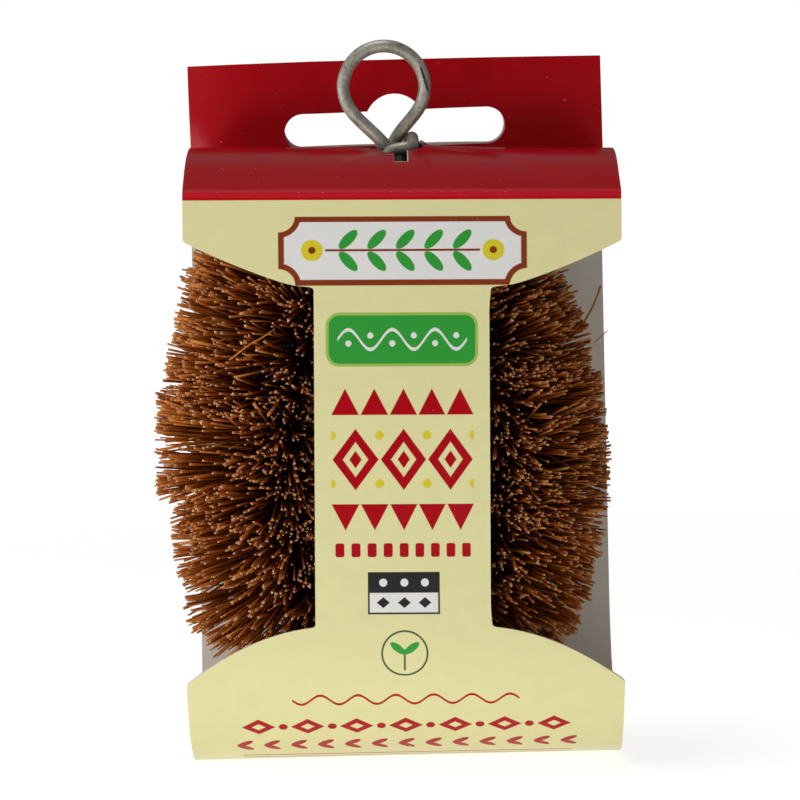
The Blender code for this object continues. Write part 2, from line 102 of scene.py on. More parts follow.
def strip_path():
    """(y, z) every 0.05 mm along the card: straight header, circular flap, label bowed by a quarter sine,
    half an ellipse round the bottom, straight back. A 0.45 mm running mean rounds the two creases."""
    flap_turn = math.asin(FLAP_HALF / FLAP_R)
    flap = np.linspace(-flap_turn, flap_turn, 200)
    down = np.linspace(0, 1, 200)
    turn = np.linspace(math.pi, 2 * math.pi, 400)
    return evened(np.concatenate([
        [(HEADER_FRONT_Y, HEADER_TOP)],
        np.stack([FLAP_MID_Y - FLAP_R * np.sin(flap), FLAP_MID_Z + FLAP_R * np.cos(flap)], 1),
        np.stack([LABEL_Y - LABEL_BOW * np.sin(down * math.pi / 2), FOLD_Z + (ROUND_Z - FOLD_Z) * down], 1)[1:],
        np.stack([ROUND_Y + ROUND_HALF_Y * np.cos(turn), ROUND_Z + ROUND_HALF_Z * np.sin(turn)], 1)[1:],
        [(BACK_Y, HEADER_TOP)]]), 0.05)


path = strip_path()
path_v = along_line(path)
v_end = path_v[-1]
v_fold = path_v[np.argmin(np.hypot(path[:, 0] - HEADER_FRONT_Y, path[:, 1] - FOLD_Z))]
v_crease = path_v[np.argmin(np.hypot(path[:, 0] - LABEL_Y, path[:, 1] - FOLD_Z))]
v_low = path_v[np.argmin(path[:, 1])]
v_header_back = v_end - (HEADER_TOP - FOLD_Z)


def side_shift(x, v):
    """How far the cut sides stand off true, in mm, given at places along the card and less towards its middle:
    the header and the lower label stand out on the right, the bowed flap is drawn in and the wing is wider."""
    middle = (v_fold + v_crease) / 2
    left = np.interp(v, [v_fold, middle, (middle + v_crease) / 2, v_crease, v_crease + 4.5, v_crease + 16.5],
                     [0, 0.31, 0.05, -0.14, -0.12, 0])
    right = np.interp(v, [0, v_fold, middle, v_crease - 4, v_crease, v_crease + 54, v_crease + 67, v_low],
                      [0.24, 0.39, -0.11, -0.12, -0.03, 0, 0.3, 0])
    return left * np.clip(-x / CARD_HALF, 0, 1) + right * np.clip(x / CARD_HALF, 0, 1)


def on_card(x, v):
    """The point of the card's middle surface at x across the strip and v along it: the path's (y, z), turned in
    the card's plane by up to 1.1 degrees from the label to the back, shifted by up to 0.9 mm, and curled by a
    square law at the header's left end, over a width that grows with height. Bell curves lift the flap round
    the wire's neck and right of the wrap, dent it on the left and leave two shallow folds. The ridge sags by a
    sine, and the crease and the bottom lie a little low. The header's top is bowed and lower at its left end.
    The slot is cut 1.5 degrees askew, and higher and straighter in the rear layer. The strip's right edge is
    cut in."""
    y, z = np.interp(v, path_v, path[:, 0]), np.interp(v, path_v, path[:, 1])
    above = np.clip((y - FLAP_MID_Y) / FLAP_HALF, 0, 1)
    below = np.clip((y - ROUND_Y + ROUND_HALF_Y) / (1.3 * ROUND_HALF_Y), 0, 1)
    share = np.where(z > ROUND_Z, above, below)
    angle = np.radians(BACK_TURN) * share
    shifted = x + FRONT_SHIFT * (1 - share)

    header = (v < v_fold) | (v > v_header_back)
    height = np.clip((z - FOLD_Z) / (HEADER_TOP - FOLD_Z), 0, 1)
    width = 6 + 7 * height
    bent = np.clip((width - CARD_HALF - x) / width, 0, None)
    most = (2.3 - 1.05 * height) * np.minimum(4 * height, 1) * header
    curl = most * bent**2
    shifted = shifted + most**2 * bent**3 / (1.5 * width) + side_shift(x, v)

    ahead = FLAP_MID_Y - y
    lift = np.zeros_like(y)
    for rise, mid_x, wide_x, mid_y, wide_y in FLAP_BELLS:
        lift += rise * np.exp(-((x - mid_x) / wide_x) ** 2 - ((y - FLAP_MID_Y - mid_y) / wide_y) ** 2)
    for depth, mid_x, slant, wide in FLAP_FOLDS:
        lift -= depth * bell(x - mid_x, slant * ahead, wide) * np.clip(ahead / 4, 0, 1)
    on_flap = (v > v_fold) & (v < v_crease)
    lift = lift * on_flap * np.clip((y - LABEL_Y) / 3, 0, 1)
    sag = np.sin(np.clip((v - v_fold) / (v_crease - v_fold), 0, 1) * math.pi) * (0.17 + 0.0045 * x)
    lift -= np.maximum(sag, 0) * on_flap + 0.5 * bell(v, v_crease, 6)
    lift -= (0.18 - 0.0055 * x) * np.clip((ROUND_Z - z) / 15, 0, 1)

    near_slot = np.exp(-(x / 20) ** 4 - ((z - SLOT_MID_Z) / 6) ** 2) * header
    askew = 0.026 * x * np.where(v > v_fold, 0.25, 1) + np.where(v > v_fold, 0.66, -0.08)
    z = z + near_slot * askew - 0.2 * np.clip((-12 - x) / 18, 0, 1) * height * header
    z = z + 0.12 * np.clip(1 - (x / CARD_HALF) ** 2, 0, 1) * height * header
    band = np.clip((WINDOW_TOP_Z + 2 - z) / 4, 0, 1) * np.clip((z - WINDOW_BOTTOM_Z + 2) / 4, 0, 1)
    shifted = shifted - 0.4 * np.clip(x / 12, 0, 1) * band * ((v > v_crease) & (v < v_low))
    return np.stack([shifted * np.cos(angle) - z * np.sin(angle), y + curl,
                     shifted * np.sin(angle) + z * np.cos(angle) + lift], -1)


def window_edge():
    """(half width, z) down the label's cut edge: full width, a sweep in to the strip, the strip, a sweep out.
    The upper sweep is a cubic that flattens beside the strip, as a bell curve, and the lower one a parabola.
    A running mean rounds the corners."""
    out = np.linspace(0, CARD_HALF - STRIP_HALF, 200)
    top = WINDOW_TOP_Z + 0.30 * out + 0.00365 * out**2 + 0.6 * (out / (CARD_HALF - STRIP_HALF)) ** 3
    top = top + 0.6 * bell(out, 0, 2.2)
    low = WINDOW_BOTTOM_Z - 0.09 * out - 0.0195 * out**2
    return evened(np.concatenate([[(CARD_HALF, 0.0)], np.stack([STRIP_HALF + out, top], 1)[::-1],
                                  np.stack([STRIP_HALF + out, low], 1), [(CARD_HALF, -100.0)]]), 0.1)


edge = window_edge()


def half_width(v):
    """Half the card's width at v: the window's edge on the front of the label, and full elsewhere."""
    z = np.interp(v, path_v, path[:, 1])
    in_front = (v > v_crease) & (v < v_low)
    return np.where(in_front, np.interp(-z, -edge[:, 1], edge[:, 0]), CARD_HALF)


def slot_edges(x):
    """(lower z, upper z) of the hang slot at x: half circles at its ends, a round hump over its middle, and
    both at mid height beyond the ends, where the card is whole."""
    to_end = np.clip(np.abs(x) - (SLOT_HALF - SLOT_R), 0, SLOT_R)
    half = np.sqrt(SLOT_R**2 - to_end**2)
    hump = np.sqrt(np.clip(HUMP_R**2 - x**2, 0, None)) - HUMP_R
    return SLOT_MID_Z - half, np.where(np.abs(x) < HUMP_HALF, hump, SLOT_MID_Z + half)


def card_columns():
    """Places across the card, closer together at the slot's round ends, in its hump and at the neck slot."""
    hump = HUMP_R * np.sin(np.linspace(0, math.asin(HUMP_HALF / HUMP_R), 7))
    straight = np.linspace(HUMP_HALF, SLOT_HALF - SLOT_R, 10)[1:]
    end = SLOT_HALF - SLOT_R + SLOT_R * np.sin(np.radians(np.linspace(0, 90, 10)))[1:]
    outer = np.linspace(SLOT_HALF, CARD_HALF, 14)[1:]
    right = np.concatenate([hump, straight, end, outer])
    return np.unique(np.concatenate([-right, right, NECK_SLOT_X]))


def round_the_wrap(x, v):
    """Columns moved aside where the neck slot widens: by the hole's half ellipse at the slot's own edges, and
    less further out, down to nothing 7 mm away."""
    y = np.interp(v, path_v, path[:, 0])
    middle, half = (NECK_HOLE_Y[0] + NECK_HOLE_Y[1]) / 2, (NECK_HOLE_Y[1] - NECK_HOLE_Y[0]) / 2
    bulge = np.sqrt(np.clip(1 - ((y - middle) / half) ** 2, 0, 1)) * (NECK_HOLE_HALF - NECK_HALF)
    out = np.abs(x - NECK_MID)
    share = np.where(out < NECK_HALF, out / NECK_HALF, np.clip(1 - (out - NECK_HALF) / 7, 0, 1))
    return x + np.sign(x - NECK_MID) * bulge * share * ((v > v_fold) & (v < v_crease))


def card_rows():
    """Places along the card between the two ends of the header, closer at the creases and window sweeps."""
    v = np.arange(v_fold - 1.0, v_header_back + 0.02, 0.02)
    y, z = points_at(path, path_v, v).T
    on_flap = (v > v_fold) & (v < v_crease)
    spacing = np.where(on_flap, 0.75, 1.1)
    spacing[on_flap & (np.abs(y + 19) < 6.5)] = 0.4
    spacing[(z < ROUND_Z) & (z > BOTTOM_Z - 1)] = 0.8
    spacing[v > v_header_back - 70] = 1.6
    for high, low in SWEEPS_Z:
        spacing[(z < high) & (z > low) & (v > v_crease) & (v < v_low)] = 0.13
    for crease in (v_fold, v_crease):
        spacing[np.abs(v - crease) < 0.7] = 0.12
    turns = np.concatenate([[0], np.cumsum(0.02 / spacing[:-1])])
    rows = np.interp(np.linspace(0, turns[-1], int(turns[-1]) + 2), turns, v)
    flap = (path_v > v_fold) & (path_v < v_crease)
    cuts = np.interp([-NECK_SLOT_Y[1], -NECK_SLOT_Y[0]], -path[flap, 0], path_v[flap])
    return np.unique(np.concatenate([rows, cuts])), cuts


def grid_faces(rows, columns, start):
    """Quads of a grid of points, row by row, wound so that they face the card's printed side."""
    corner = start + np.arange(rows - 1)[:, None] * columns + np.arange(columns - 1)[None]
    return np.stack([corner, corner + columns, corner + columns + 1, corner + 1], -1).reshape(-1, 4)


def card_sheet():
    """(x, v) of every point and the quads of the flat card: three grids that meet beyond the slot's ends."""
    columns = card_columns()
    rows, cuts = card_rows()
    slot_low, slot_high = slot_edges(columns)
    v_low_edge, v_high_edge = HEADER_TOP - slot_low, HEADER_TOP - slot_high
    down = np.linspace(0, 1, 12)[:, None]
    upper = v_high_edge * down
    lead = v_low_edge + (rows[0] - v_low_edge) * down[:-1]
    front = np.concatenate([lead, np.repeat(rows[:, None], len(columns), 1)])
    tail = rows[-1] + (v_end - v_low_edge - rows[-1]) * down[1:]
    middle = np.concatenate([front, tail])
    across = np.where(np.abs(middle - v_low) < v_low, columns / CARD_HALF * half_width(middle), columns)
    at_top = np.repeat(columns[None], 12, 0)
    parts = [(at_top, upper), (across, middle), (at_top, v_end - upper[::-1])]
    points = np.concatenate([np.stack([round_the_wrap(x, v), v], -1).reshape(-1, 2) for x, v in parts])
    quads, start = [], 0
    for number, (x, v) in enumerate(parts):
        made = grid_faces(*v.shape, start)
        if number == 1:
            centre_x = (x[:-1, :-1] + x[1:, 1:]).ravel() / 2
            centre_v = (v[:-1, :-1] + v[1:, 1:]).ravel() / 2
            neck = (centre_v > cuts[0]) & (centre_v < cuts[1])
            neck &= (centre_x > NECK_SLOT_X[0]) & (centre_x < NECK_SLOT_X[1])
            made = made[~neck]
        quads.append(made)
        start += v.size
    return points, np.concatenate(quads)


flat, quads = card_sheet()
sleeve_mesh = bpy.data.meshes.new("card_sleeve_sheet")
sleeve_mesh.from_pydata((on_card(*flat.T) * MM).tolist(), [], quads.tolist())
strip_uv = np.stack([flat[:, 0] / (2 * CARD_HALF) + 0.5, flat[:, 1] / v_end], 1)[quads.ravel()]
sleeve_mesh.uv_layers.new(name="strip").data.foreach_set("uv", strip_uv.ravel())
sheet = bmesh.new()
sheet.from_mesh(sleeve_mesh)
bmesh.ops.remove_doubles(sheet, verts=sheet.verts, dist=1e-6)
sheet.to_mesh(sleeve_mesh)
sheet.free()


def placed(name, data):
    """An object of that mesh, light or camera, linked to the scene."""
    made = bpy.data.objects.new(name, data)
    bpy.context.scene.collection.objects.link(made)
    return made


sleeve = placed("printed_card_sleeve", sleeve_mesh)


# The sleeve's finish: flat inks under varnish, red over the header and the flap and cream below, on board that is
# bare inside and at its cut edges. The label's ornament is plain pattern work of bands, panels and small shapes.
class Measure:
    """A number, colour or place that changes over a surface, held by a node's output. Each sign or abs() on it
    adds one Math node, so that the patterns read as plain sums of distances in mm."""

    def __init__(self, socket):
        self.socket, self.tree = socket, socket.id_data

    def __add__(self, other):
        return worked("ADD", self, other)

    def __sub__(self, other):
        return worked("SUBTRACT", self, other)

    def __rsub__(self, other):
        return worked("SUBTRACT", other, self)

    def __mul__(self, other):
        return worked("MULTIPLY", self, other)

    def __truediv__(self, other):
        return worked("DIVIDE", self, other)

    def __pow__(self, other):
        return worked("POWER", self, other)

    def __abs__(self):
        return worked("ABSOLUTE", self)


def fill(node, given):
    """Feeds a node's sockets, by name or number: a measure is linked, and a plain number or colour is set."""
    for key, value in given.items():
        socket = node.inputs[key]
        if isinstance(value, Measure):
            value.tree.links.new(value.socket, socket)
        else:
            socket.default_value = (*value, 1) if isinstance(value, tuple) else value


def add_node(tree, kind, given=None, **settings):
    """A node of that kind with its settings, fed with the given values."""
    node = tree.nodes.new("ShaderNode" + kind)
    for name, setting in settings.items():
        setattr(node, name, setting)
    fill(node, given or {})
    return node


def worked(operation, *values):
    """One Math node of that operation on the values, at least one of which is a measure."""
    tree = next(value.tree for value in values if isinstance(value, Measure))
    return Measure(add_node(tree, "Math", dict(enumerate(values)), operation=operation).outputs[0])


def larger(one, other):
    """The larger of two values."""
    return worked("MAXIMUM", one, other)


def smaller(one, other):
    """The smaller of two values."""
    return worked("MINIMUM", one, other)


def repeated(value, period, most):
    """The value less its nearest whole period, for periods up to the most on either side of 0."""
    whole = worked("ROUND", value / period)
    return value - larger(smaller(whole, most), -most) * period


def box(x, y, half_x, half_y, corner=0.0):
    """Distance outside a rectangle whose corners have that radius."""
    out_x, out_y = abs(x) - (half_x - corner), abs(y) - (half_y - corner)
    past_x, past_y = larger(out_x, 0.0), larger(out_y, 0.0)
    far = worked("SQRT", past_x * past_x + past_y * past_y)
    return far + smaller(larger(out_x, out_y), 0.0) - corner


def disc(x, y, half_x, half_y=None):
    """Distance outside an ellipse, near enough beside its edge: the root of both squared shares, less 1."""
    half_y = half_y or half_x
    share_x, share_y = x / half_x, y / half_y
    size = worked("SQRT", share_x * share_x + share_y * share_y)
    return (size - 1.0) * min(half_x, half_y)


def lozenge(x, y, half_x, half_y):
    """Distance outside a diamond: the sum of both shares, less 1."""
    return (abs(x) / half_x + abs(y) / half_y - 1.0) * (min(half_x, half_y) * 0.8)


def leaf(x, y, turn, length, width):
    """Distance outside an ellipse that points along the turn, in degrees."""
    c, s = math.cos(math.radians(turn)), math.sin(math.radians(turn))
    return disc(x * c + y * s, y * c - x * s, length, width)


def wave(x, y, height, period, half):
    """Distance outside a line of that half thickness along a sine wave."""
    return abs(y - worked("SINE", x * (2 * math.pi / period)) * height) - half


def ranged(value, *ends, kind="SMOOTHSTEP"):
    """The value carried from one range to another, 0 to 1 unless given, and held at both ends."""
    node = add_node(value.tree, "MapRange", dict(enumerate((value, *ends))), interpolation_type=kind)
    return Measure(node.outputs["Result"])


def inside(*distances):
    """1 inside all the shapes and 0 outside, with an edge as soft as offset print, 0.045 mm each way."""
    distance = distances[0]
    for other in distances[1:]:
        distance = larger(distance, other)
    return ranged(distance, 0.045, -0.045)


def lay(under, colour, mask):
    """The colour over what is under it, where the mask is."""
    node = add_node(mask.tree, "Mix", {"Factor": mask, "A": under, "B": colour}, data_type="RGBA")
    return Measure(node.outputs["Result"])


def stamp(coat, *prints):
    """The coat with each print's colour laid on in turn, inside all of its shapes."""
    for colour, *shapes in prints:
        coat = lay(coat, colour, inside(*shapes))
    return coat


def toned(coat, brightness):
    """The coat with its brightness multiplied by the measure."""
    return Measure(add_node(coat.tree, "HueSaturation", {"Value": brightness, "Color": coat}).outputs[0])


def ramped(value, *stops):
    """The colour that a ramp of (position, colour) stops gives for the value."""
    ramp = add_node(value.tree, "ValToRGB", {"Fac": value})
    marks = ramp.color_ramp.elements
    for position, _ in stops[1:-1]:
        marks.new(position)
    for mark, (position, colour) in zip(marks, stops):
        mark.position, mark.color = position, (*colour, 1)
    return Measure(ramp.outputs["Color"])


def on_piece(tree):
    """The place on the piece itself, in metres."""
    return Measure(add_node(tree, "TexCoord").outputs["Object"])


def parts_of(place):
    """The three parts of a place."""
    return [Measure(output) for output in add_node(place.tree, "SeparateXYZ", {0: place}).outputs]


def speckle(place, scale, detail=2.0):
    """Plain noise round 0.5, of that scale and detail."""
    node = add_node(place.tree, "TexNoise", {"Vector": place, "Scale": scale, "Detail": detail})
    return Measure(node.outputs["Fac"])


def fine_grain_group():
    """Shared surface grain: the mean of a fine and a broad noise as a value, and the fine one as a height."""
    group = bpy.data.node_groups.new("fine_grain", "ShaderNodeTree")
    for name, kind, way in (("Vector", "Vector", "INPUT"), ("Fine scale", "Float", "INPUT"),
                            ("Broad scale", "Float", "INPUT"), ("Value", "Float", "OUTPUT"),
                            ("Height", "Float", "OUTPUT")):
        group.interface.new_socket(name=name, in_out=way, socket_type="NodeSocket" + kind)
    place, fine, broad = (Measure(output) for output in list(group.nodes.new("NodeGroupInput").outputs)[:3])
    fine, broad = speckle(place, fine, 4.0), speckle(place, broad, 3.0)
    mean = worked("MULTIPLY_ADD", fine, 0.5, broad * 0.5)
    fill(group.nodes.new("NodeGroupOutput"), {"Value": mean, "Height": fine})
    return group


fine_grain = fine_grain_group()


def add_grain(place, fine, broad):
    """(value, height) of the fine grain group, placed in a material with its own scales."""
    given = {"Vector": place, "Fine scale": fine, "Broad scale": broad}
    node = add_node(place.tree, "Group", given, node_tree=fine_grain)
    return Measure(node.outputs["Value"]), Measure(node.outputs["Height"])


def add_bump(height, strength, depth, shader):
    """Bumps of that strength and depth, in mm, where the height is."""
    node = add_node(height.tree, "Bump", {"Strength": strength, "Distance": depth * MM, "Height": height})
    fill(shader, {"Normal": Measure(node.outputs["Normal"])})


def new_material(name):
    """(material, node tree, shader) of a new material."""
    made = bpy.data.materials.new(name)
    made.use_nodes = True
    return made, made.node_tree, made.node_tree.nodes["Principled BSDF"]


def grained(name, fine, broad, stops, roughness, bump=None):
    """A material whose colour runs from one stop to the other with its grain, bumped where told."""
    made, tree, shader = new_material(name)
    value, height = add_grain(on_piece(tree), fine, broad)
    fill(shader, {"Base Color": ramped(value, *stops), "Roughness": roughness})
    if bump:
        add_bump(height, *bump, shader)
    return made


# The second red is the same ink painted brighter, as painted light on the strip below the crease.
RED, PAINTED_LIT_RED = (0.425, 0.0012, 0.006), (0.52, 0.001, 0.009)
CREAM, WHITE = (0.79, 0.746, 0.38), (0.80, 0.79, 0.76)
GREEN, LIME, BROWN = (0.035, 0.34, 0.042), (0.36, 0.52, 0.10), (0.25, 0.040, 0.010)
YELLOW, BLACK, DARK_GREEN = (0.72, 0.60, 0.03), (0.02, 0.02, 0.022), (0.05, 0.10, 0.04)
TORN, CREASED, RUBBED = (0.80, 0.76, 0.72), (0.50, 0.26, 0.20), (0.72, 0.68, 0.64)

# Places on the print: x across the strip from its middle, and down from the front crease.
printed, tree, shader = new_material("printed_card")
x, down, _ = parts_of(Measure(add_node(tree, "UVMap", uv_map="strip").outputs["UV"]))
x, down = (x - 0.5) * (2 * CARD_HALF), down * v_end - v_crease
spot = Measure(add_node(tree, "CombineXYZ", {0: x, 1: down}).outputs[0])
value, height = add_grain(spot, 5.0, 0.35)

# The ticket in the top wing, with a sprig of five pairs of leaves between two berries.
y = down - 8.3
ticket = larger(box(x, y, 17.0, 4.9), disc(abs(x) - 17.0, abs(y) - 4.9, 2.3) * -1.0)
berry_x = abs(x) - 12.4
coat = stamp(CREAM, (BROWN, ticket), (WHITE, ticket + 0.8), (BROWN, box(x, y, 10.6, 0.16)),
             (GREEN, leaf(repeated(x, 3.9, 2.0) - 0.35, abs(y) - 1.55, 48.0, 1.75, 0.72)),
             (YELLOW, disc(berry_x, y, 1.5)), (BROWN, disc(berry_x, y, 0.5)))

# The green panel, with a white wave and dots in its troughs.
y = down - 20.6
panel, hold = box(x, y, 10.6, 3.7, 1.9), box(x, y, 9.0, 2.6)
dot_y = y + worked("SINE", x * (math.pi / 3)) * 0.55
coat = stamp(coat, (LIME, panel), (GREEN, panel + 0.4), (WHITE, wave(x, y, 1.35, 6.0, 0.24), hold),
             (WHITE, disc(abs(repeated(x - 1.5, 3.0, 3.0)), dot_y, 0.42), hold))

# Red bands down the strip: teeth, large lozenges, teeth the other way, and a row of bars.
for place, way in ((29.0, 1.0), (45.0, -1.0)):
    y = down - place
    teeth = (abs(repeated(x, 4.0, 2.0)) * 1.9 + y * -way - 1.7) * 0.45
    coat = stamp(coat, (RED, teeth, box(x, y, 9.9, 1.9)))
y = down - 37.0
big_x, between_x = repeated(x, 6.6, 1.0), repeated(abs(x) - 3.3, 6.6, 1.0)
coat = stamp(coat, (RED, lozenge(big_x, y, 3.15, 4.2)), (CREAM, lozenge(big_x, y, 1.75, 2.4)),
             (RED, lozenge(big_x, y, 0.85, 1.2)),
             (YELLOW, disc(between_x, abs(y) - 3.3, 0.6), box(x, y, 9.9, 5.0)),
             (RED, box(repeated(x, 2.2, 4.0), down - 49.4, 0.62, 0.95, 0.3)))

# The small two-tone tag, three dots over three lozenges, and the ring with a young plant below it.
y = down - 55.3
tag_x = repeated(x, 2.9, 1.0)
coat = stamp(coat, (BLACK, box(x, y, 5.0, 2.9)), (WHITE, box(x, y - 1.3, 4.75, 1.35)),
             (WHITE, disc(tag_x, y + 1.45, 0.55)), (BLACK, lozenge(tag_x, y - 1.3, 0.9, 0.75)))
y = down - 63.6
coat = stamp(coat, (DARK_GREEN, abs(disc(x, y, 3.1)) - 0.13), (DARK_GREEN, box(x, y - 0.9, 0.13, 1.5)),
             (GREEN, leaf(abs(x) - 0.95, y + 0.75, -38.0, 1.25, 0.5)))

# The lower wing: a red wave, a row of lozenges and dots, a row of small leaves, and a double rule.
y = down - 70.6
coat = stamp(coat, (RED, wave(x, y, 0.75, 5.2, 0.2), box(x, y, 15.6, 1.4)))
y = down - 75.6
row_x = repeated(x, 6.8, 3.0)
coat = stamp(coat, (RED, lozenge(row_x, y, 2.35, 1.6)), (CREAM, lozenge(row_x, y, 0.95, 0.65)),
             (RED, disc(repeated(x - 3.4, 6.8, 3.0), y, 0.62), box(x, y, 22.8, 2.0)),
             (RED, leaf(repeated(x, 3.75, 6.0), abs(down - 80.4) - 0.62, 35.0, 1.35, 0.52)),
             (RED, box(x, abs(down - 85.2) - 0.7, 23.0, 0.22)))

# On the back a sprig, rows of short bars in place of small print, a row of lozenges, and a thin frame round them.
y = down - (v_header_back - v_crease - 31.0)
stem_y = y + 16.0
coat = stamp(coat, (BROWN, box(x, stem_y, 12.0, 0.16)),
             (GREEN, leaf(repeated(x, 3.9, 2.0) + 0.35, abs(stem_y) - 1.55, 132.0, 1.75, 0.72)),
             (BROWN, box(repeated(x, 8.0, 2.0), repeated(y, 3.4, 3.0), 3.5, 0.55, 0.5)),
             (RED, lozenge(row_x, y - 17.0, 2.35, 1.6)), (RED, abs(box(x, y, 25.0, 24.0, 3.0)) - 0.2))

# Red over header and flap, which ends just below the crease. From 0.3 mm above the crease to where it ends, the
# same red ink is painted brighter, as painted light: the strip there looks more lit than the shaded header and
# flap.
front_red, back_red = down - 0.98, float(v_header_back - v_crease - 1.35) - down
coat = stamp(coat, (RED, smaller(front_red, back_red)), (PAINTED_LIT_RED, larger(front_red, -0.3 - down)))

# The print has broken along the front and the right of the neck slot's cut, and at a short crease beside it.
slot_front = card_rows()[1][1] - v_crease
slot_x, slot_y = x - (NECK_MID + 0.06), down - (slot_front - 3.95)
coat = stamp(coat, (TORN, box(slot_x, slot_y, NECK_HALF, 4.0) - 0.07))
coat = lay(coat, CREASED, inside(leaf(x + 4.9, down - (slot_front - 9.4), 6.0, 1.7, 0.35)) * 0.5)

# Scuffs: bare board shows in specks along both creases and the cut edges.
to_crease = smaller(abs(down), abs(down - (v_fold - v_crease)))
near = smaller(smaller(to_crease, CARD_HALF - abs(x)), 0.062)
coat = stamp(coat, (RUBBED, near * 2.2 - (speckle(spot, 1.6, 5.0) - 0.62)))

worn = inside(to_crease - 0.6) * 0.4
fill(shader, {"Base Color": toned(coat, value * 0.16 + 0.92), "Roughness": value * 0.14 + 0.13 + worn,
              "Specular IOR Level": 0.24})
add_bump(height, 0.12, 0.06, shader)

board = grained("bare_board_inside", 3000, 300, ((0.0, (0.58, 0.53, 0.45)), (1.0, (0.78, 0.71, 0.61))), 0.85,
                (0.3, 0.08))
raw_edge = grained("cut_board_edge", 6000, 900, ((0.0, (0.48, 0.43, 0.36)), (1.0, (0.80, 0.76, 0.68))), 0.9,
                   (0.5, 0.1))

for finish in (printed, board, raw_edge):
    sleeve_mesh.materials.append(finish)
wall = sleeve.modifiers.new("board_thickness", "SOLIDIFY")
wall.thickness = CARD_THICK * MM
wall.offset = 0
wall.use_even_offset = True
wall.material_offset = 1
wall.material_offset_rim = 2
bpy.context.view_layer.update()
solid = bpy.data.meshes.new_from_object(sleeve.evaluated_get(bpy.context.evaluated_depsgraph_get()))
sleeve.modifiers.clear()
sleeve.data = solid
solid.name = "printed_card_sleeve"
solid.shade_smooth()
solid.set_sharp_from_angle(angle=math.radians(35))
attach(sleeve, "root")
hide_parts("card_sleeve")


# The wire. One length of 1.83 mm galvanised wire: its fold is the hanging ring, its two halves are twisted
# together 14 times with the fibre between them and bent round into a teardrop, and one end is brought up
# through the flap and wrapped half round the neck, where it was pinched off with cutters.
WIRE_R = 0.915
CORE_X, CORE_Y, CORE_TOP_Z = -0.9, -19.375, -10.875
CORE_HIGH, CORE_WIDE, CORE_START = 64.5, 28.4, 3.4
TURNS, STRAND_OFF, FLAP_TOP_Z = 14, 1.465, -7.675
NECK_X, NECK_APART = 0.75, 1.2
CROSSING = (-0.35, FLAP_TOP_Z - 1.3)
RING_R, RING_X, RING_Z = 5.75, -1.45, 0.72


def teardrop():
    """(x, z) round the core's middle line: x is a constant times sin q sin(q/2) and z falls by (1 - cos q)/2 of
    the height, for q from 0 to 2 pi, from where the legs are 6.8 mm apart."""
    q = np.linspace(0, 2 * math.pi, 4001)
    x = -CORE_WIDE / 2 * math.sqrt(27) / 4 * np.sin(q) * np.sin(q / 2)
    z = -CORE_HIGH * (1 - np.cos(q)) / 2
    apart = (np.abs(x) > CORE_START) | (z < -CORE_HIGH / 2)
    first, last = np.argmax(apart), len(q) - np.argmax(apart[::-1])
    return np.stack([x + CORE_X, z + CORE_TOP_Z], 1)[first:last]


core = teardrop()
core_s = along_line(core)
core_length = float(core_s[-1])
pitch = core_length / TURNS


def unit(vectors):
    """Each vector divided by its own length."""
    return vectors / np.maximum(np.linalg.norm(vectors, axis=-1, keepdims=True), 1e-9)


def core_frame(s):
    """(point, run, outward, back) at length s along the core: outward points away from the teardrop's middle."""
    x, z = points_at(core, core_s, s).T
    ahead, behind = np.minimum(s + 0.2, core_length), np.maximum(s - 0.2, 0)
    run_x, run_z = unit(points_at(core, core_s, ahead) - points_at(core, core_s, behind)).T
    zero = np.zeros(np.shape(s))
    return [np.stack(parts, -1) for parts in ([x, zero + CORE_Y, z], [run_x, zero, run_z],
                                              [run_z, zero, -run_x], [zero, zero + 1, zero])]


def strand_line(side):
    """The middle line of one strand of the twist: a helix of 1.465 mm radius round the core, 20 points a turn."""
    s = np.linspace(0, core_length, TURNS * 20 + 1)
    point, _, outward, back = core_frame(s)
    angle = 2 * math.pi * s[:, None] / pitch
    return point + (back * np.cos(angle) - outward * np.sin(angle)) * side * STRAND_OFF


def ring_line():
    """The hanging ring: the long arc of a circle of 5.75 mm radius between two tangents that cross at the flap's
    level, stepping forward by the neck's spacing as it goes round."""
    to_neck = np.array([CROSSING[0] - RING_X, CROSSING[1] - RING_Z])
    start, touch = math.atan2(to_neck[1], to_neck[0]), math.acos(RING_R / np.linalg.norm(to_neck))
    angle = np.linspace(start + touch, start + 2 * math.pi - touch, 48)
    depth = np.linspace(NECK_APART, -NECK_APART, 50)[1:-1]
    return np.stack([RING_X + RING_R * np.cos(angle), CORE_Y + depth, RING_Z + RING_R * np.sin(angle)], 1)


def wrap_line():
    """The wrapped end: straight across the front from its cut tip, a tight corner, back along the neck's right
    side, and down behind it."""
    x = np.array([-2.3, -1.1, 0.0, 1.1, 1.85, 2.35, 2.5, 2.5, 2.45, 2.1, 1.35])
    depth = np.array([-3.5, -3.5, -3.5, -3.5, -3.3, -2.5, -1.3, 0.4, 1.7, 2.9, 3.6])
    climb = np.array([-0.92, -0.70, -0.48, -0.28, -0.18, -0.08, 0.25, 0.9, 1.2, 0.9, -0.2])
    return np.stack([x, CORE_Y + depth, FLAP_TOP_Z + climb], 1)


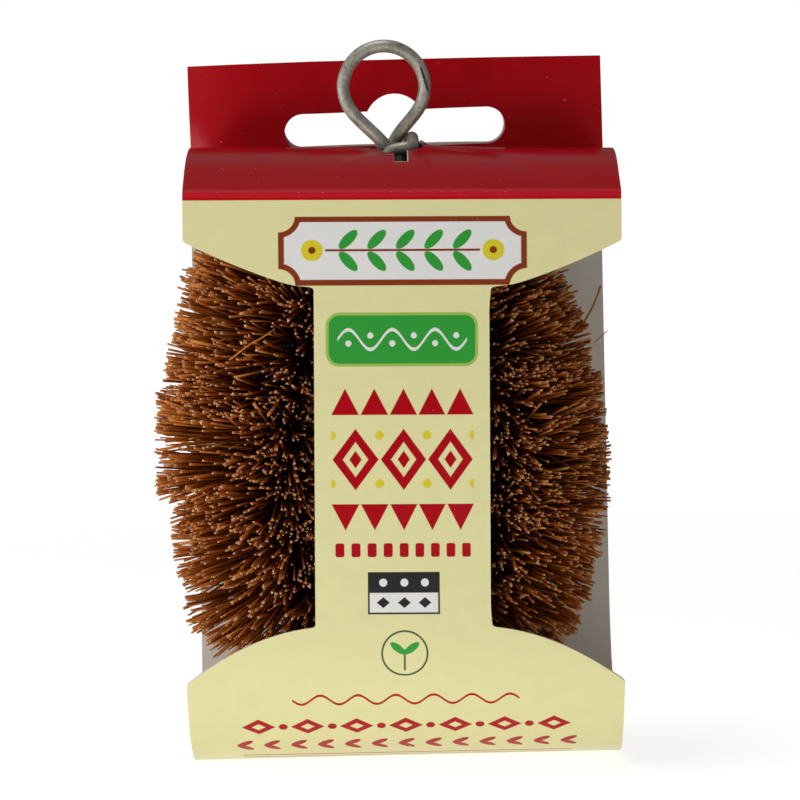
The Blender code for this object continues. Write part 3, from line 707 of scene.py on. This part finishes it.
def natural_spline(points, step):
    """Points a step apart on the natural cubic spline through the given points, by its second derivatives."""
    t = along_line(points)
    h = np.diff(t)[:, None]
    slope = np.diff(points, axis=0) / h
    count = len(points)
    system = np.eye(count)
    inner = np.arange(1, count - 1)
    system[inner, inner - 1] = h[:-1, 0]
    system[inner, inner] = 2 * (h[:-1, 0] + h[1:, 0])
    system[inner, inner + 1] = h[1:, 0]
    bend = np.zeros_like(points)
    bend[1:-1] = 6 * np.diff(slope, axis=0)
    bend = np.linalg.solve(system, bend)
    where = np.arange(0, t[-1], step)
    k = np.clip(np.searchsorted(t, where, "right") - 1, 0, count - 2)
    a, b, width = (t[k + 1] - where)[:, None], (where - t[k])[:, None], h[k]
    return (bend[k] * a**3 + bend[k + 1] * b**3) / (6 * width) + (
        points[k] / width - bend[k] * width / 6) * a + (points[k + 1] / width - bend[k + 1] * width / 6) * b


def wire_points():
    """The whole wire: wrap, down behind the neck, rear strand upwards, ring, front strand downwards, cut end."""
    rear, front = strand_line(1), strand_line(-1)
    behind = [[0.7, CORE_Y + 3.7, FLAP_TOP_Z - 1.6], [0.25, CORE_Y + 3.4, FLAP_TOP_Z - 3.3]]
    rise, fall = ([[NECK_X - 0.3, y, FLAP_TOP_Z - 3.0], [CROSSING[0] + 0.15, y, CROSSING[1] - 0.1]]
                  for y in (CORE_Y + NECK_APART, CORE_Y - NECK_APART))
    return np.concatenate([wrap_line(), behind, rear[::-1], rise, ring_line(), fall[::-1], front,
                           [front[-1] + [-0.9, -0.5, 1.4]]])


def carried_frames(points):
    """Unit tangents and normals along a line, the normals carried without twist: the turn between any two
    neighbouring rough normals is summed up and taken off again."""
    tangent = unit(np.gradient(points, axis=0))
    rough = unit(np.cross(tangent, np.eye(3)[np.argmin(np.abs(tangent), axis=1)]))
    carried = rough[:-1] - tangent[1:] * np.sum(rough[:-1] * tangent[1:], axis=1, keepdims=True)
    side = np.cross(tangent[1:], carried)
    turn = np.arctan2(np.sum(rough[1:] * side, axis=1), np.sum(rough[1:] * carried, axis=1))
    turn = -np.concatenate([[0], np.cumsum(turn)])[:, None]
    return tangent, rough * np.cos(turn) + np.cross(tangent, rough) * np.sin(turn)


def tube_quads(rings, sides):
    """The quads between neighbouring rings of a tube's points."""
    first, k = np.arange(rings - 1)[:, None] * sides, np.arange(sides)[None]
    after = (k + 1) % sides
    return np.stack([first + k, first + after, first + sides + after, first + sides + k], -1).reshape(-1, 4)


def tube(points, radii, sides):
    """A round tube along the points, closed by a fan at each end: circles of the given radii in the carried
    frames. Returns its points, and its quads and end faces."""
    tangent, normal = carried_frames(points)
    other = np.cross(tangent, normal)
    angle = np.linspace(0, 2 * math.pi, sides, endpoint=False)
    ring = normal[:, None] * np.cos(angle)[None, :, None] + other[:, None] * np.sin(angle)[None, :, None]
    skin = points[:, None] + ring * radii[:, None, None]
    last = (len(points) - 1) * sides
    ends = [list(range(sides))[::-1], list(range(last, last + sides))]
    return skin.reshape(-1, 3), tube_quads(len(points), sides).tolist() + ends


wire_line = natural_spline(wire_points(), 0.3)
wire_v = along_line(wire_line)
radii = WIRE_R * (1 - 0.75 * bell(wire_v, 0, 1.15) - 0.3 * bell(wire_v, wire_v[-1], 0.4))
wire_line[:, 2] -= np.where(wire_v < 4, WIRE_R - radii, 0)
skin, faces = tube(wire_line, radii, 18)
wire_mesh = bpy.data.meshes.new("galvanised_wire")
wire_mesh.from_pydata((skin * MM).tolist(), [], faces)
wire_mesh.shade_smooth()
wire_mesh.set_sharp_from_angle(angle=math.radians(50))
wire = placed("galvanised_wire", wire_mesh)

# Its finish: zinc gone dull and spotted, scraped dark on the ring, with a rust mark at the neck. Below the
# flap's level the wire carries painted shade: it is painted nearly black and made less metallic. Places are
# across and up, in mm, seen from the front.
zinc, tree, shader = new_material("dull_zinc")
place = on_piece(tree)
across, depth, up = parts_of(place)
painted_shade_low = ranged(up, (CORE_TOP_Z + 2.2) * MM, (CORE_TOP_Z + 0.2) * MM, kind="LINEAR")
in_front = worked("LESS_THAN", depth, (CORE_Y + 0.45) * MM)
across, up = across * 1000.0, up * 1000.0
value, height = add_grain(place, 2600, 420)
coat = ramped(value, (0.36, (0.26, 0.258, 0.212)), (0.66, (0.52, 0.505, 0.415)))
coat = lay(coat, (0.035, 0.028, 0.018), inside(leaf(across - 4.25, up - 1.8, -73.0, 2.05, 0.2)) * in_front)
coat = stamp(coat, ((0.50, 0.20, 0.06), leaf(across - 1.36, up + 6.0, 46.0, 1.3, 0.17)))
# Dark spots of the dull zinc, and pale spots that are partly pale zinc and partly painted glints for its speckled
# highlights.
spots = speckle(place, 1900)
coat = lay(coat, (0.11, 0.060, 0.030), inside((spots - 0.33) * 2.0) * 0.7)
coat = lay(coat, (0.62, 0.60, 0.50), inside((0.68 - spots) * 2.0) * 0.6)
# Painted shade: from 1 mm under the flap's top the wire darkens downward, nearly black from 3 mm under it, in the
# neck slot and the mat.
coat = lay(coat, (0.030, 0.012, 0.005), painted_shade_low)
fill(shader, {"Base Color": coat, "Metallic": (1.0 - painted_shade_low) * 0.45, "Roughness": value * 0.3 + 0.34})
add_bump(height, 0.35, 0.12, shader)
wire_mesh.materials.append(zinc)
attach(wire, "root")
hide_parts("core_wire")


# The coir. Coconut fibre, cut to about 39 mm, lies across the wires and is gripped as they twist, so each
# fibre leaves the core on both sides and the ends turn with the twist. Each turn of the twist holds one
# bundle. The fibres stick together in tufts, lean and bend a little, and were trimmed to one reach.
REACH = 19.4
FIBRES_A_BUNDLE = 1550
RINGS = 6
ring_at = np.linspace(0, 1, RINGS)
TUFT_LENGTH, TUFT_ANGLE = 0.85, 0.24
chance = np.random.default_rng(11)


def inner_room(s):
    """Radius of the largest circle inside the teardrop that touches it at s: the least, over the core's other
    points, of the squared distance over twice its share along the inward direction."""
    point, _, outward, _ = core_frame(s)
    to_others = core[None] - point[:, None, (0, 2)]
    towards = -np.sum(to_others * outward[:, None, (0, 2)], axis=2)
    apart = np.sum(to_others**2, axis=2)
    return np.where(towards > 1e-3, apart / (2 * np.maximum(towards, 1e-3)), 99.0).min(axis=1)


def fibre_lines(count):
    """Middle lines of the fibres, (count, rings, 3), with their place along the core and their reach. A fibre
    leaves square to the core along the twist's own direction, spread by a bell curve, and bends by a square law
    with a small wave. A tuft shares one lean and one reach, and its fibres close up towards its middle. One in
    eight is short and stands anywhere round the core. The ends stop at the reach, which is less on the right
    and uneven on the left by two bell curves and an exponential at the top, or at the other leg."""
    s = (np.arange(count) + chance.random(count)) / count * core_length
    side = chance.choice([-1.0, 1.0], count)
    spread = chance.normal(0, 0.46, count)
    under = chance.random(count) < 0.12
    spread = np.where(under, chance.uniform(-1.6, 1.6, count), spread)
    row = np.floor(s / TUFT_LENGTH + 0.35 * side)
    tuft = row * 60 + np.floor(spread / TUFT_ANGLE + 0.5 * chance.random()) * 2 + (side > 0)
    known, tuft = np.unique(tuft, return_inverse=True)
    tuft_spread, tuft_lean, tuft_reach = chance.normal(0, (0.10, 0.13, 0.50), (len(known), 3)).T
    middle_s, middle_spread = (np.bincount(tuft, values)[tuft] / np.bincount(tuft)[tuft] for values in (s, spread))
    straying = np.where(chance.random(count) < 0.06, 3.2, 1.0)
    lean = tuft_lean[tuft] + chance.normal(0, 0.035, count) * straying + 0.62 * (middle_s - s) / REACH
    drawn_in = spread + 0.55 * (middle_spread - spread) + chance.normal(0, 0.03, count) * straying
    spread = np.where(under, spread, drawn_in)
    lean += 0.3 * (np.exp((s - core_length) / 4) - np.exp(-s / 4))
    point, run, outward, back = core_frame(s)
    angle = (2 * math.pi * s / pitch + spread + tuft_spread[tuft])[:, None]
    start = unit((outward * np.cos(angle) + back * np.sin(angle)) * side[:, None] + run * lean[:, None])

    z, at_top = point[:, 2], 3.0 * np.exp(-s / 5)
    reach = REACH - 0.35 + tuft_reach[tuft] - np.abs(chance.normal(0, 0.14, count))
    reach -= np.maximum(start[:, 0], 0) * (2.2 + 0.9 * np.clip((z + 42) / 20, 0, 1))
    reach += np.maximum(-start[:, 0], 0) * (np.clip(0.06 * (z + 44), -0.6, 1.5)
                                            - 2.9 * bell(z, -59.6, 3.2) + 0.8 * bell(z, -50.5, 2.2) + at_top)
    reach -= np.where(chance.random(count) < 0.12, chance.random(count) * 5, 0)
    reach = np.where(under, chance.uniform(4, 15, count), np.minimum(reach, REACH + 1.4 + at_top))
    stations = np.linspace(0, core_length, 500)
    room = np.interp(s, stations, inner_room(stations))
    inward = -np.sum(start * outward, axis=1)
    reach = np.where(inward > 0.05, np.minimum(reach, 0.97 * room / np.maximum(inward, 0.05)), reach)
    reach = np.maximum(reach, 2.0)

    t = ring_at[None, :, None]
    across = unit(np.cross(start, chance.normal(0, 1, (count, 3))))
    bend = across * (chance.normal(0, 0.8, count) * straying * (reach / REACH) ** 2)[:, None]
    phase, rate = chance.random(count) * 6.28, chance.uniform(2, 7, count)
    ripple = np.sin(rate[:, None] * ring_at + phase[:, None]) - np.sin(phase)[:, None]
    root = np.cross(start, run) * chance.uniform(-1.1, 1.1, (count, 1))
    lines = (point + root)[:, None] + start[:, None] * (0.35 + (reach[:, None, None] - 0.35) * t)
    lines += bend[:, None] * t**2 + np.cross(across, start)[:, None] * ripple[:, :, None] * 0.26 * t
    return lines, s, reach


def held_in(lines):
    """The fibres held inside the sleeve: depth is limited by the back and the bowed label, height by the flap's
    arc, and both together by the ellipse of the bottom. Each fibre lies in its own layer near the card."""
    slack = 0.12 + 0.9 * chance.random(len(lines))[:, None] ** 2
    x, y, z = lines[..., 0], lines[..., 1], lines[..., 2]
    wall = CARD_THICK / 2 + slack
    down = np.clip((FOLD_Z - z) / (FOLD_Z - ROUND_Z), 0, 1)
    y = np.clip(y, LABEL_Y - LABEL_BOW * np.sin(down * math.pi / 2) + wall, BACK_Y - wall)
    flap = np.sqrt(np.maximum((FLAP_R - wall) ** 2 - (y - FLAP_MID_Y) ** 2, 0)) + FLAP_MID_Z
    z = np.minimum(z, flap)
    far = np.sqrt(((y - ROUND_Y) / (ROUND_HALF_Y - wall)) ** 2 + ((z - ROUND_Z) / (ROUND_HALF_Z - wall)) ** 2)
    pull = np.where((z < ROUND_Z) & (far > 1) & (np.abs(x) < CARD_HALF + 2), 1 / np.maximum(far, 1), 1.0)
    z = np.where(z < ROUND_Z, ROUND_Z + (z - ROUND_Z) * pull, z)
    return np.stack([x, ROUND_Y + (y - ROUND_Y) * pull, z], -1)


def fibre_skins(lines, radius):
    """Three-sided tubes along all the lines at once, (count, rings, 3 corners, 3): corners turn a third of a
    circle apart round each line, in the plane square to its run."""
    run = unit(np.gradient(lines, axis=1))
    guide = np.cross(run[:, :1], chance.normal(0, 1, (len(lines), 1, 3)))
    guide = unit(guide - run * np.sum(guide * run, axis=2, keepdims=True))
    other = np.cross(run, guide)
    angle = np.array([0, 2, 4]) * math.pi / 3
    ring = guide[:, :, None] * np.cos(angle)[:, None] + other[:, :, None] * np.sin(angle)[:, None]
    return lines[:, :, None] + ring * radius[:, :, None, None]


def fibre_faces(count):
    """Side quads and the two end triangles of each three-sided tube, the cut ends last."""
    start = (np.arange(count) * RINGS * 3)[:, None, None]
    last = (RINGS - 1) * 3
    return [(np.array(faces) + start).reshape(-1, len(faces[0]))
            for faces in (tube_quads(RINGS, 3), [[2, 1, 0]], [[last, last + 1, last + 2]])]


coir, tree, shader = new_material("coir")


def stored(name):
    """A number kept on the points of the fibres."""
    return Measure(add_node(tree, "Attribute", attribute_name=name).outputs["Fac"])


value, height = add_grain(on_piece(tree), 1400, 260)
coat = ramped(stored("tone") + (value - 0.5) * 0.7, (0.0, (0.075, 0.012, 0.002)), (0.45, (0.27, 0.060, 0.008)),
              (0.8, (0.53, 0.152, 0.023)), (1.0, (0.74, 0.30, 0.068)))
coat = lay(coat, (0.66, 0.30, 0.105), stored("tip") ** 60.0 * 0.7)
# Painted shade: each fibre is darkened towards its root, down to 0.12 of its brightness at the core, for the shade
# deep in the mat.
coat = toned(coat, smaller(stored("along") ** 1.35 + 0.12, 1.0))
fill(shader, {"Base Color": coat, "Roughness": 0.5, "Specular IOR Level": 0.02})
add_bump(height, 0.4, 0.08, shader)
cut_end = grained("coir_cut_end", 5000, 500, ((0.42, (0.30, 0.10, 0.025)), (0.66, (0.82, 0.53, 0.27))), 0.7)

lines, fibre_s, reach = fibre_lines(FIBRES_A_BUNDLE * TURNS)
lines = held_in(lines)
along = ring_at * np.clip(reach / REACH, 0, 1)[:, None]
thick = 0.115 + 0.11 * chance.random(len(lines)) + 0.16 * chance.random(len(lines)) ** 8
tones = np.clip(chance.normal(0.46, 0.22, len(lines)), 0.02, 1)

# Three loose fibres have slipped half out of the mat, one over its left front and two at its upper right.
loose = np.array([[(-23.0, -37.0, -36.9), (-20.2, -37.6, -34.7), (-18.4, -37.8, -33.8), (-16.7, -37.2, -32.6)],
                  [(26.9, -17.0, -32.7), (27.7, -16.0, -31.5), (28.6, -15.0, -29.9), (29.4, -14.0, -27.7)],
                  [(28.1, -20.0, -35.7), (28.6, -20.5, -35.1), (29.2, -21.0, -34.5), (29.9, -22.0, -33.8)]])
bent = np.stack([points_at(line, range(4), np.linspace(0, 3, RINGS)) for line in loose])
lines = np.concatenate([lines, bent])
fibre_s = np.concatenate([fibre_s, core_length * np.array([0.2, 0.85, 0.8])])
along = np.concatenate([along, np.ones((3, RINGS))])
thick = np.concatenate([thick, [0.14, 0.17, 0.09]])[:, None]
tones = np.concatenate([tones, [0.85, 0.85, 0.95]])
skins = fibre_skins(lines, thick * np.array([1.0, 1.05, 1.0, 0.98, 0.97, 0.96]))
tips = np.tile(np.repeat(ring_at, 3), len(lines))
bundle_of = np.minimum((fibre_s / pitch).astype(int), TURNS - 1)
for number in range(TURNS):
    own = bundle_of == number
    points = skins[own].reshape(-1, 3)
    sides, roots, cuts = fibre_faces(int(own.sum()))
    mesh = bpy.data.meshes.new(f"coir_fibre_{number + 1:02d}")
    mesh.from_pydata((points * MM).tolist(), [], sides.tolist() + roots.tolist() + cuts.tolist())
    mesh.materials.append(coir)
    mesh.materials.append(cut_end)
    face = np.arange(len(mesh.polygons))
    mesh.polygons.foreach_set("material_index", (face >= len(sides) + len(roots)).astype(np.int32))
    mesh.polygons.foreach_set("use_smooth", face < len(sides))
    for name, values in (("tone", np.repeat(tones[own], RINGS * 3)), ("along", np.repeat(along[own], 3)),
                         ("tip", tips[:len(points)])):
        mesh.attributes.new(name, "FLOAT", "POINT").data.foreach_set("value", values)
    mesh.update()
    bundle = placed(mesh.name, mesh)
    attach(bundle, "root")
    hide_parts(f"coir_bundle_{number + 1:02d}")


# The studio. The sleeve stands on a glowing table in a dim room. The table's glow lights the sleeve from below,
# strongest close round it, and the camera sees the table white, with painted shade close round the sleeve. Soft
# lights stand far to the left and front left, overhead and behind, and two small ones low in front.
FLOOR_Z, FLOOR_HALF = -94.6, 9000
floor_mesh = bpy.data.meshes.new("studio_floor")
floor_mesh.from_pydata([(x * FLOOR_HALF * MM, y * FLOOR_HALF * MM, FLOOR_Z * MM)
                        for x, y in ((-1, -1), (1, -1), (1, 1), (-1, 1))], [], [(0, 1, 2, 3)])
floor = placed("studio_floor", floor_mesh)
pale, tree, shader = new_material("glowing_white_table")
far = Measure(add_node(tree, "VectorMath", {0: on_piece(tree)}, operation="LENGTH").outputs["Value"])
seen = Measure(add_node(tree, "LightPath").outputs["Is Camera Ray"])
# Painted light: for light the table glows 0.54 within 0.22 m of the middle, fading to 0.05 by 0.42 m; to the
# camera it glows 0.8 near the middle and 1.0 from 0.8 m out, the dimmer middle being painted shade.
bright = add_node(tree, "Mix", {"Factor": seen, "A": ranged(far, 0.22, 0.42, 0.54, 0.05),
                                "B": ranged(far, 0.12, 0.8, 0.80, 1.0)})
fill(shader, {"Base Color": (0.5, 0.5, 0.5), "Roughness": 0.9, "Emission Color": (1, 1, 1),
              "Emission Strength": Measure(bright.outputs["Result"])})
floor_mesh.materials.append(pale)


def stand(piece, right, up, away, place):
    """Stands a light or camera at a place in mm, its own X, Y and Z along the three directions."""
    piece.matrix_world = Matrix([[right[k], up[k], away[k], place[k] * MM] for k in range(3)] + [[0, 0, 0, 1]])


def soft_light(name, place, size, watts, aim=(0, -20, -45)):
    """A round area light at a place in mm, facing the aim: its X is level, and its Z points from the aim to it."""
    lamp = bpy.data.lights.new(name, "AREA")
    lamp.size = size * MM
    lamp.energy = watts
    lamp.shape = "DISK"
    holder = placed(name, lamp)
    holder.visible_camera = False
    away = unit(np.array(place, float) - np.array(aim, float))
    right = unit(np.cross([0, 0, 1], away))
    stand(holder, right, np.cross(away, right), away, place)


soft_light("side_light", (-420, -125, 0), 180, 0.68, aim=(0, -20, -30))
soft_light("left_light", (-110, -245, -76), 60, 0.128)
soft_light("right_light", (80, -260, -76), 60, 0.076)
soft_light("front_light", (-540, -430, 40), 240, 0.50)
soft_light("top_light", (-50, -60, 450), 200, 0.88)
soft_light("back_light", (-60, 330, 400), 420, 0.045, aim=(0, -20, -30))

world = bpy.data.worlds.new("dim_room")
bpy.context.scene.world = world
world.use_nodes = True
backdrop = world.node_tree.nodes["Background"]
seen = Measure(add_node(world.node_tree, "LightPath").outputs["Is Camera Ray"])
fill(backdrop, {"Color": (1, 1, 1), "Strength": ranged(seen, 0.0, 1.0, 0.095, 1.0, kind="LINEAR")})


# The camera: a long lens 0.55 m in front of the label, level with the flap and looking down by 3.5 degrees, as
# solved from the sleeve's own edges.
FOCAL_PIXELS, PICTURE_PIXELS = 4029.74, 800
CAMERA_PLACE = (-4.428, -589.951, -8.840)
camera_data = bpy.data.cameras.new("camera")
camera_data.sensor_width = 36
camera_data.lens = FOCAL_PIXELS / PICTURE_PIXELS * 36
camera_data.clip_start = 0.01
camera = placed("camera", camera_data)
pitch_down, yaw, roll = (math.radians(angle) for angle in (3.484, 0.505, -0.259))
level = np.array([math.cos(yaw), -math.sin(yaw), 0.0])
forward = np.array([math.sin(yaw) * math.cos(pitch_down), math.cos(yaw) * math.cos(pitch_down),
                    -math.sin(pitch_down)])
upright = np.cross(level, forward)
right = level * math.cos(roll) + upright * math.sin(roll)
up = upright * math.cos(roll) - level * math.sin(roll)
stand(camera, right, up, -forward, CAMERA_PLACE)
bpy.context.scene.camera = camera
bpy.context.scene.view_settings.view_transform = "Standard"
